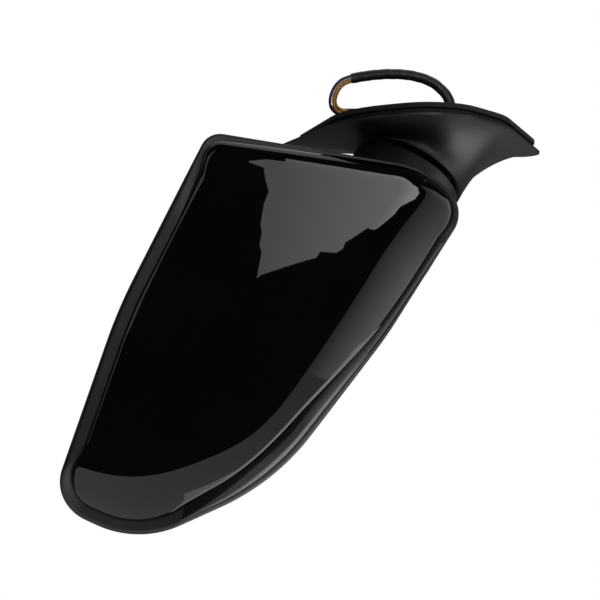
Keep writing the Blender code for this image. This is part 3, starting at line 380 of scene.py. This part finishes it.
def slant(startU, depth):      # the inboard wall leans with the neck's split
    behind = depth - head["slantFrom"] * mm
    lean = (behind + math.hypot(behind, head["slantSoft"] * mm)) / 2
    return math.tan(neckTurn) * lean * smoothStep(1 - (startU - inboardEdge) / (head["slantReach"] * mm))


def headRing(depths, amounts):          # numbers are millimetres for the whole ring, lists are metres for each point
    depths = depths if isinstance(depths, list) else [depths * mm] * len(outline)
    amounts = amounts if isinstance(amounts, list) else [amounts * mm] * len(outline)
    return [Vector((-(p.x + slant(o.x, depth)), depth, p.y))
            for p, o, depth in zip(drawnIn(outline, amounts, crownPoint), outline, depths)]


def inHead(bm):
    bmesh.ops.transform(bm, matrix=headPlace, verts=bm.verts)
    return bm


def capRings(wallMm, turns):
    wall = wallMm * mm
    rings = [headRing(behindParting(-head["gap"]), [lip + wall for lip in lips])]
    for turn in turns:
        inset, rise = 1 - math.cos(math.radians(turn)), 1 - math.sin(math.radians(turn))
        amounts = [lip + wall + soft * inset for lip, soft in zip(lips, softs)]
        drawn = drawnIn(outline, amounts, crownPoint)
        rings.append(headRing([capDepth(p.x, p.y) + wall + soft * rise for p, soft in zip(drawn, softs)], amounts))
    rim = rings[-1]
    for k in range(1, cap["faceRings"] + 1):
        share = 1 - k / (cap["faceRings"] + 0.4)
        places = [(crownPoint.x + (-p.x - crownPoint.x) * share, crownPoint.y + (p.z - crownPoint.y) * share)
                  for p in rim]
        rings.append([Vector((-u, capDepth(u, v) + wall, v)) for u, v in places])
    return rings


capSkin = skin(capRings(cap["wall"], (90,))[::-1] + capRings(0, range(0, 91, 9)))
closeEnd(closeEnd(capSkin, head["points"], False), head["points"], True)
capShell = meshPiece("cap_shell", inHead(capSkin), lacqueredAbs, 50)
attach(capShell, "head")
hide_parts("front_cap")
print("cap shell made")


# satin shell round the cap; its front lip carries the cap and the lens
housing = {"edge": 4, "edgeShare": 0.43, "lipUnderCap": 5, "levels": 6, "collarRadius": 34, "cutFrom": -3.4,
           "cutTo": 20}                                        # mm


def housingPiece():
    wall, edge = head["wall"], housing["edge"]
    back = head["rim"] - head["bezelLength"] - head["gap"]
    lipIn = [lip + housing["lipUnderCap"] * mm for lip in lips]
    edges = [edge * min(lip / (head["topLip"] * mm), 1.0) * mm for lip in lips]
    front = [parting + soft for parting, soft in zip(partings, edges)]
    middle = head["frameDepth"] * mm
    rings = [headRing(back, 0.35), headRing(back - 0.35, 0)]
    rings += [headRing(back - (back - head["frameDepth"]) * k / housing["levels"], 0)
              for k in range(1, housing["levels"] + 1)]
    rings += [headRing([middle + (depth - middle) * k / housing["levels"] for depth in front], 0)
              for k in range(1, housing["levels"])]
    for k in range(9):
        turn = math.radians(90) * k / 8
        inset, rise = housing["edgeShare"] * (1 - math.cos(turn)), 1 - math.sin(turn)
        rings.append(headRing([parting + soft * rise for parting, soft in zip(partings, edges)],
                              [lip * inset for lip in lips]))
    rings += [headRing(partings, lipIn), headRing(behindParting(wall), lipIn)]
    rings += [headRing(behindParting(wall + edge), wall + 0.5)]
    rings += [headRing(depth, wall) for depth in (head["frameDepth"], 0, back)]
    return meshPiece("housing_shell", inHead(skin(rings, closedBand=True)), grainedAbs, 40)


housingShell = housingPiece()
cutAway(housingShell, drum((housing["collarRadius"] + head["gap"]) * mm, housing["cutFrom"] * mm,
                           housing["cutTo"] * mm, neckPlace))
housingShell.data.shade_smooth()
housingShell.data.set_sharp_from_angle(angle=math.radians(40))
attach(housingShell, "head")
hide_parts("head_housing")
print("housing shell made")


# bezel round the glass, softened on both edges
bezel = {"lip": 6.8, "soft": 1.6, "thick": 3}      # mm


def bezelPiece():
    start, rim, soft, lip = head["rim"] - head["bezelLength"], head["rim"], bezel["soft"], bezel["lip"]
    turns = [math.radians(90) * k / 6 for k in range(7)]
    quarter = [(rim - soft + soft * math.sin(t), soft * (1 - math.cos(t))) for t in turns]
    profile = [(start, 0.35), (start + 0.35, 0.0)] + quarter
    profile += [(depth, lip - inset) for depth, inset in quarter[::-1]]
    profile += [(rim - bezel["thick"], lip), (rim - bezel["thick"], head["wall"] + 1), (start, head["wall"])]
    rings = [[Vector((-(p.x + slant(o.x, depth * mm)), depth * mm, p.y))
              for p, o in zip(evenlyIn(outline, inset * mm, crownPoint), outline)] for depth, inset in profile]
    return meshPiece("bezel_ring", inHead(skin(rings, closedBand=True)), grainedAbs, 40)


bezelRing = bezelPiece()
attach(bezelRing, "head")
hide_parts("rear_bezel")
print("bezel made")


# smoky strip that fills the step between the cap's lower edge and the shell, thin at both ends
lens = {"edgeShare": 0.25, "drop": 0.7, "blunt": 0.4, "profile": 9, "turn": 58, "thinnest": 0.25, "outboardTaper": 26,
        "inboardTaper": 70}


def lensPiece():
    chosen = [i for i, p in enumerate(outline)
              if head["lensFrom"] * mm < p.x < head["lensTo"] * mm and p.y < head["crown"][1] * mm]
    base = behindParting(-head["gap"])
    near = [lip * lens["edgeShare"] for lip in lips]
    far = [lip - head["gap"] * mm for lip in lips]
    full = [0.0] * len(outline)
    for n, i in enumerate(chosen):
        ends = min(n / lens["outboardTaper"], (len(chosen) - 1 - n) / lens["inboardTaper"], 1.0)
        full[i] = lens["thinnest"] + (1 - lens["thinnest"]) * math.sin(math.radians(90) * ends)
    fullTurn = math.radians(lens["turn"])
    rows = [headRing(base, near)]
    for k in range(lens["profile"] + 1):
        turn = math.radians(lens["turn"]) * k / lens["profile"]
        across, rise = (1 - math.cos(turn)) / (1 - math.cos(fullTurn)), math.sin(turn) / math.sin(fullTurn)
        amounts = [a + (b - a) * across for a, b in zip(near, far)]
        depths = [low - lens["blunt"] * mm
                  - (step - (lens["drop"] + lens["blunt"] + head["gap"]) * mm) * rise * share
                  for low, step, share in zip(base, steps, full)]
        rows.append(headRing(depths, amounts))
    rows.append(headRing(base, far))
    bars = [[row[i] for row in rows] for i in chosen]
    count = len(rows)
    bm = closeEnd(closeEnd(skin(bars), count, False), count, True)
    return meshPiece("lens_strip", inHead(bm), smokedPolycarbonate, 50)


lensStrip = lensPiece()
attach(lensStrip, "head")
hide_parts("indicator_lens")
print("lens made")


# silvered glass, flat, with ground edges
glass = {"inset": 10.6, "points": 288, "from": 29.7, "thick": 3, "ground": 0.5}      # mm


def glassPiece():
    start, top, ground = glass["from"], glass["from"] + glass["thick"], glass["ground"]
    edge = spreadEvenly([Vector((p.x + slant(o.x, head["rim"] * mm), p.y)) for p, o in zip(
        evenlyIn(outline, glass["inset"] * mm, crownPoint), outline)], glass["points"])
    face = evenlyIn(edge, ground * mm, crownPoint)

    def level(ring, depth):
        return [Vector((-p.x, depth * mm, p.y)) for p in ring]

    rings = [level(face, start), level(edge, start + ground), level(edge, top - ground), level(face, top)]
    bm = closeEnd(closeEnd(skin(rings), glass["points"], False), glass["points"], True)
    return meshPiece("mirror_pane", inHead(bm), silveredGlass, 30)


mirrorPane = glassPiece()
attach(mirrorPane, "glass")
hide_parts("mirror_glass")
print("glass made")


# flared foot: a thin rim on the door that sweeps up into the round neck
foot = {
    "corners": [(30, 86, 5), (-62, 46, 60), (-92, -14, 45), (-40, -52, 60), (57, -79, 12), (52, 20, 60)],
    "points": 256, "rimEdge": 1.4, "rimShare": 0.4, "flare": 13, "flareRise": 2, "split": 3.4, "back": -6.6,
    "wall": 2.5, "levels": 30, "barrel": 8, "barrelGap": 0.8, "hingeOffset": 38, "hingeHalf": 25.3, "slotStart": 17,
}
footOutline = roundedOutline(foot["corners"], foot["points"])


def footRing(share, wallMm):
    centre = neckPlace.translation
    inward = -neckPlace.col[2].to_3d()
    ring = []
    for y, z in drawnIn(footOutline, [wallMm * mm] * len(footOutline), (centre.y, centre.z)):
        angle = math.atan2(z - centre.z, y - centre.y)
        radius = (housing["collarRadius"] - wallMm) * mm
        end = neckPlace @ Vector((radius * math.cos(angle), -radius * math.sin(angle), -foot["split"] / 2 * mm))
        start = Vector(((foot["back"] - foot["rimEdge"] + foot["rimShare"] * wallMm) * mm, y, z))
        room = (start.x - foot["flareRise"] * mm - end.x) / inward.x
        under = end + inward * min(max(room, 0.0), foot["flare"] * mm)
        aim = start.lerp(Vector((start.x - foot["flareRise"] / 2 * mm, under.y, under.z)), 0.5)
        t = share
        ring.append(start * (1 - t) ** 3 + aim * 3 * t * (1 - t) ** 2 + under * 3 * t * t * (1 - t) + end * t ** 3)
    return ring


def footPiece():
    levels = [k / foot["levels"] for k in range(foot["levels"] + 1)]
    outer = [footRing(t, 0) for t in levels]
    inner = [footRing(t, foot["wall"]) for t in levels[::-1]]
    outerRim = [Vector((foot["back"] * mm, p.y, p.z)) for p in outer[0]]
    innerRim = [Vector((foot["back"] * mm, p.y, p.z)) for p in inner[-1]]
    return meshPiece("foot_shell", skin([outerRim] + outer + inner + [innerRim], closedBand=True), grainedAbs, 40)


footShell = footPiece()
hingePlace = (neckPlace @ Matrix.Translation((foot["hingeOffset"] * mm, 0, 0))
              @ Matrix.Rotation(math.radians(90), 4, "X"))
hingeRoom = foot["hingeHalf"] * mm
cutAway(footShell, drum((foot["barrel"] + foot["barrelGap"]) * mm, -hingeRoom, hingeRoom, hingePlace, 48))
slotLow, slotHigh = -(foot["barrel"] + 2 * head["gap"]) * mm, foot["split"] / 3 * mm
slotFrom, slotTo = foot["slotStart"] * mm, 2 * foot["hingeOffset"] * mm
cutAway(footShell, prism([(slotFrom, slotLow), (slotTo, slotLow), (slotTo, slotHigh), (slotFrom, slotHigh)],
                         -hingeRoom, hingeRoom, neckPlace))
footShell.data.shade_smooth()
footShell.data.set_sharp_from_angle(angle=math.radians(40))
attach(footShell, "base")
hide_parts("foot_cover")
print("foot made")


def smoothPath(points, steps):          # a smooth curve through the route's own points
    held = [points[0] * 2 - points[1], *points, points[-1] * 2 - points[-2]]
    path = []
    for a, b, c, d in zip(held, held[1:], held[2:], held[3:]):
        for k in range(steps):
            t = k / steps
            path.append(0.5 * (2 * b + (c - a) * t + (2 * a - 5 * b + 4 * c - d) * t * t
                               + (3 * b - a - 3 * c + d) * t ** 3))
    path.append(points[-1])
    return path


def pathLength(path):
    return sum((b - a).length for a, b in zip(path, path[1:]))


def carried(path):                      # tangent and two side directions at each point, without twisting
    side = Vector((0, 1, 0))
    found = []
    for i, point in enumerate(path):
        ahead = (path[min(i + 1, len(path) - 1)] - path[max(i - 1, 0)]).normalized()
        side = (side - ahead * side.dot(ahead)).normalized()
        found.append((point, side, ahead.cross(side)))
    return found


# taped sleeve from the grommet, arching over to the loose wires
sleeve = {"radius": 3.1, "lap": 7.5, "step": 0.18, "sides": 32, "route": [
    (-2, -45, -17), (6, -45, -17), (12.5, -45, -13.5), (18.5, -45.5, -6), (22, -46, 5), (23, -46, 17),
    (22.3, -45.7, 29), (20.6, -45, 40.5)]}                     # mm
wires = {"radius": 0.8, "ring": 1.8, "tucked": 2, "route": [
    (20.5, -45, 40.9), (18.6, -44.7, 45.6), (14.8, -43.8, 49.3), (9.6, -42.2, 51.4), (5.4, -39.5, 51.2),
    (3.4, -35.5, 48.6), (2.9, -31, 45), (2.9, -27, 43), (2.9, -24.2, 42.7)], "colours": [
    ("wire_white", "#c9c9c6", "#d8d8d4"), ("wire_yellow", "#c79a12", "#d9ad20"), ("wire_orange", "#d08a52", "#dd9b63"),
    ("wire_blue", "#23305c", "#2c3b6c"), ("wire_pink", "#c0607f", "#cd7290")]}

sleevePath = smoothPath([Vector(p) * mm for p in sleeve["route"]], 14)
walked, rings = 0.0, []
for i, (point, side, up) in enumerate(carried(sleevePath)):
    if i:
        walked += (point - sleevePath[i - 1]).length
    ring = []
    for k in range(sleeve["sides"]):
        turn = 2 * math.pi * k / sleeve["sides"]
        lap = (walked / (sleeve["lap"] * mm) - k / sleeve["sides"]) % 1.0
        radius = (sleeve["radius"] - sleeve["step"] * lap) * mm
        ring.append(point + (side * math.cos(turn) + up * math.sin(turn)) * radius)
    rings.append(ring)
tapeSkin = closeEnd(closeEnd(skin(rings), sleeve["sides"], False), sleeve["sides"], True)
tapeSleeve = meshPiece("tape_sleeve", tapeSkin, harnessTape, 60)
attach(tapeSleeve, "base")
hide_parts("harness_sleeve")
print("sleeve made:", round(pathLength(sleevePath) / mm), "mm")

wirePath = smoothPath([Vector(p) * mm for p in wires["route"]], 8)
wirePath.insert(0, wirePath[0] + (sleevePath[-2] - sleevePath[-1]).normalized() * wires["tucked"] * mm)
for n, (name, dark, light) in enumerate(wires["colours"]):
    turn = 2 * math.pi * n / len(wires["colours"])
    line = [p + (side * math.cos(turn) + up * math.sin(turn)) * wires["ring"] * mm
            for p, side, up in carried(wirePath)]
    data = bpy.data.curves.new(name, "CURVE")
    data.dimensions = "3D"
    data.bevel_depth = wires["radius"] * mm
    data.bevel_resolution = 4
    data.use_fill_caps = True
    spline = data.splines.new("POLY")
    spline.points.add(len(line) - 1)
    for target, point in zip(spline.points, line):
        target.co = (*point, 1.0)
    spline.use_smooth = True
    data.materials.append(wirePvc(name + "_pvc", dark, light))
    strand = bpy.data.objects.new(name, data)
    scene.collection.objects.link(strand)
    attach(strand, "base")
    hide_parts("wire_%d" % (n + 1))
print("wires made:", len(wires["colours"]))


# threaded inserts in the plate's pads, M6 with a 1 mm pitch
insert = {"radius": 4.5, "bore": 2.5, "depth": 0.5, "pitch": 1, "from": -6.3, "to": 0, "bevel": 0.4, "sides": 48,
          "turnsPerPitch": 6, "places": [(18, 36), (-60, -14), (30, -46)]}           # mm
for n, (y, z) in enumerate(insert["places"]):
    low, high, bevel = insert["from"], insert["to"], insert["bevel"]
    profile = [(low, insert["radius"] - bevel), (low + bevel, insert["radius"]), (high - bevel, insert["radius"]),
               (high, insert["radius"] - bevel), (high, insert["bore"] + 2 * bevel)]
    levels = int((high - low - 2 * bevel) / insert["pitch"] * insert["turnsPerPitch"])
    profile += [(high - bevel - (high - low - 2 * bevel) * s / levels, 0) for s in range(levels + 1)]
    profile += [(low, insert["bore"] + 2 * bevel)]
    rings = []
    for x, wide in profile:
        ring = []
        for k in range(insert["sides"]):
            turn = 2 * math.pi * k / insert["sides"]
            thread = abs(2 * ((x / insert["pitch"] - k / insert["sides"]) % 1.0) - 1)
            radius = wide or insert["bore"] + insert["depth"] * thread
            ring.append(Vector((x, y + radius * math.cos(turn), z + radius * math.sin(turn))) * mm)
        rings.append(ring)
    threaded = meshPiece("threaded_sleeve_%d" % (n + 1), skin(rings, closedBand=True), platedSteel, 60)
    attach(threaded, "base")
    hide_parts("threaded_insert_%d" % (n + 1))
print("inserts made:", len(insert["places"]))


# pieces that keep their solid: a fine broken edge and their own finish
broken = {
    # the door plate takes the near-black casting whose colour stands in for the groove's shade: painted shade
    "neck_collar": (grainedAbs, 0.8), "door_plate": (shadeBlackCasting, 0.5), "door_gasket": (epdmRubber, 0.6),
    "harness_grommet": (epdmRubber, 0.5), "connector": (filledNylon, 0.3), "base_pivot_bracket": (castZinc, 0.5),
    "pivot_post": (castZinc, 0.4), "hinge_pin": (platedSteel, 0.4), "indicator_board": (solderMask, 0.1),
    "head_pivot_bracket": (castZinc, 0.5), "carrier_frame": (filledNylon, 0.4), "actuator_housing": (filledNylon, 0.4),
    "actuator_cover": (filledNylon, 0.8), "tilt_motor_side": (platedSteel, 0.6), "tilt_motor_up": (platedSteel, 0.6),
    "actuator_screw_1": (platedSteel, 0.2), "actuator_screw_2": (platedSteel, 0.2),
    "actuator_screw_3": (platedSteel, 0.2), "gimbal_ring": (filledNylon, 0.2), "glass_carrier": (filledNylon, 0.6),
    "heater_pad": (epdmRubber, 0.1), "jackscrew_side": (filledNylon, 0.2), "jackscrew_up": (filledNylon, 0.2),
}                                                              # material and edge width in mm
for name, (finish, width) in broken.items():
    piece = nodes[name]
    piece.data.materials.clear()
    piece.data.materials.append(finish)
    piece.data.shade_smooth()
    weld = piece.modifiers.new("weld", "WELD")
    weld.merge_threshold = 0.00001
    flat = piece.modifiers.new("flat faces", "DECIMATE")
    flat.decimate_type = "DISSOLVE"
    flat.angle_limit = math.radians(0.5)
    edge = piece.modifiers.new("edges", "BEVEL")
    edge.width = width * mm
    edge.segments = 2
    edge.limit_method = "ANGLE"
    edge.angle_limit = math.radians(35)
    normals = piece.modifiers.new("normals", "WEIGHTED_NORMAL")
    normals.keep_sharp = False
print("finishes given:", len(broken))


# pale floor well below, because the mirror hangs on a door; its own light is seen, but not cast on the part
stage = {"floorLevel": -0.42, "floorRadius": 0.62, "floorAt": -0.1, "floorGlow": 0.55}    # metres, and its own light
bm = bmesh.new()
bmesh.ops.create_circle(bm, cap_ends=True, segments=96, radius=stage["floorRadius"],
                        matrix=Matrix.Translation((stage["floorAt"], 0, stage["floorLevel"])))
floorPaper = surface("matt_paper", {
    "dark": "#e4e4e4", "light": "#ececec", "driftMm": 200, "smooth": 0.85, "rough": 0.95,
    "grainMm": 2, "raisedMm": 0.02, "relief": 0.1, "IOR": 1.45})
paperShader = floorPaper.node_tree.nodes["Principled BSDF"]
paperShader.inputs["Emission Color"].default_value = (1, 1, 1, 1)
paperShader.inputs["Emission Strength"].default_value = stage["floorGlow"]
floor = meshPiece("floor", bm, floorPaper)
floor.visible_diffuse = False
floor.visible_glossy = False

world = bpy.data.worlds.new("studio")
scene.world = world
world.use_nodes = True
tree = world.node_tree
tree.nodes.clear()
viewAngle = math.radians(8)
looking = Vector((math.sin(viewAngle), math.cos(viewAngle), 0))
direction = addNode(tree, "ShaderNodeTexCoord").outputs["Generated"]
behind = addNode(tree, "ShaderNodeVectorMath", {"operation": "DOT_PRODUCT", 1: looking}, {0: direction})
paper = addNode(tree, "ShaderNodeMapRange", {"interpolation_type": "SMOOTHSTEP", "From Min": -0.15, "From Max": 0.45,
                                             "To Min": 0.03, "To Max": 0.1}, {"Value": behind.outputs["Value"]})
rays = addNode(tree, "ShaderNodeLightPath")
seen = addNode(tree, "ShaderNodeMath", {"operation": "MAXIMUM"},
               {0: paper.outputs["Result"], 1: rays.outputs["Is Camera Ray"]})
back = addNode(tree, "ShaderNodeBackground", {"Color": hexColour("#ffffff")}, {"Strength": seen.outputs["Value"]})
addNode(tree, "ShaderNodeOutputWorld", {}, {"Surface": back.outputs["Background"]})


# the photograph is turned a quarter: the mirror's outboard end points down and its top edge points left
camera = {"distance": 2.2, "span": 0.353, "across": -0.103, "level": 0.0706, "depth": -0.03}      # metres
imageUp = Vector((math.cos(viewAngle), -math.sin(viewAngle), 0))
imageRight = Vector((0, 0, -1))
aim = imageUp * camera["across"] + Vector((0, 0, camera["level"])) + looking * camera["depth"]
lensData = bpy.data.cameras.new("camera")
lensData.sensor_width = 36
lensData.lens = 36 * camera["distance"] / camera["span"]
lensData.clip_start = 0.05
view = bpy.data.objects.new("camera", lensData)
scene.collection.objects.link(view)
turned = Matrix((imageRight, imageUp, -looking)).transposed().to_4x4()
view.matrix_world = Matrix.Translation(aim - looking * camera["distance"]) @ turned
scene.camera = view


# everything that lights the mirror is placed by the picture's right, up and towards the camera, in metres
def standing(right, up, near):
    return aim + imageRight * right + imageUp * up - looking * near


# lit sheets that the plastics mirror: a torn-edged window behind the camera, a wall, a sky and a table with its apron
sheets = {
    "window": {"near": 2.8, "glow": (1.5, 4.5), "across": (0.0, 1.3), "outline": [
        (0.3, 2.3), (0.1, 1.0), (-0.146, 0.524), (-0.076, 0.476), (-0.063, 0.443), (-0.034, 0.395), (-0.044, 0.361),
        (-0.04, 0.293), (-0.027, 0.267), (-0.027, 0.231), (-0.011, 0.204), (-0.009, 0.125), (0.006, 0.132),
        (0.136, 0.138), (0.233, 0.139), (0.245, 0.155), (0.316, 0.137), (0.342, 0.145), (0.346, 0.162),
        (0.388, 0.175), (0.434, 0.19), (1.018, -0.087), (1.062, -0.08), (1.58, -0.365),
        (1.622, -0.27), (1.45, 0.1), (1.2, 0.5), (1.15, 2.3)]},
    "wall": {"glow": (0.4, 2.0), "across": (0.85, 1.7), "corners": [
        (0.85, -1.8, 1.1), (1.7, -1.8, -0.15), (1.7, 0.5, -0.15), (0.85, 0.5, 1.1)]},
    "sky": {"glow": (0.15, 1.5), "across": (-1.3, 1.3), "corners": [
        (-1.3, 1.35, -2.0), (1.3, 1.35, -2.0), (1.3, 1.35, 0.15), (-1.3, 1.35, 0.15)]},
    "table": {"glow": (1.6, 2.6), "across": (0.05, 0.35), "corners": [
        (0.05, -0.6, 0.2), (0.9, -0.6, 0.2), (0.9, -0.6, -0.5), (0.05, -0.6, -0.5)]},
    "apron": {"glow": (0.9, 0.5), "across": (-0.7, 0.9), "corners": [
        (-0.7, -0.7, 0.65), (0.9, -0.7, 1.0), (0.9, -0.7, 0.2), (-0.7, -0.7, -0.3)]},
}


def litPaper(name, sheet):     # back-lit diffusion paper: its glow grows evenly towards the right
    made = bpy.data.materials.new(name)
    made.use_nodes = True
    tree = made.node_tree
    tree.nodes.clear()
    place = addNode(tree, "ShaderNodeTexCoord").outputs["Object"]
    offset = addNode(tree, "ShaderNodeVectorMath", {"operation": "SUBTRACT", 1: aim}, {0: place})
    right = addNode(tree, "ShaderNodeVectorMath", {"operation": "DOT_PRODUCT", 1: imageRight},
                    {0: offset.outputs["Vector"]})
    glow = addNode(tree, "ShaderNodeMapRange", {
        "From Min": sheet["across"][0], "From Max": sheet["across"][1], "To Min": sheet["glow"][0],
        "To Max": sheet["glow"][1]}, {"Value": right.outputs["Value"]})
    lit = addNode(tree, "ShaderNodeEmission", {}, {"Strength": glow.outputs["Result"]})
    addNode(tree, "ShaderNodeOutputMaterial", {}, {"Surface": lit.outputs["Emission"]})
    return made


for name, sheet in sheets.items():
    flat = [(right, up, sheet["near"]) for right, up in sheet.get("outline", [])]
    corners = [standing(*corner) for corner in sheet.get("corners", flat)]
    bm = bmesh.new()
    bm.faces.new([bm.verts.new(corner) for corner in corners])
    hung = meshPiece(name + "_sheet", bm, litPaper(name + "_paper", sheet))
    hung.visible_camera = False

boxes = {
    "fill": {"at": (-0.9, 0.5, 1.6), "size": 1.0, "power": 2.5},
}
for name, box in boxes.items():
    lamp = bpy.data.lights.new(name, "AREA")
    lamp.shape = "SQUARE"
    lamp.size = box["size"]
    lamp.energy = box["power"]
    made = bpy.data.objects.new(name, lamp)
    scene.collection.objects.link(made)
    spot = standing(*box["at"])
    made.matrix_world = Matrix.Translation(spot) @ (aim - spot).to_track_quat("-Z", "Y").to_matrix().to_4x4()
scene.view_settings.view_transform = "Standard"
print("stage set")
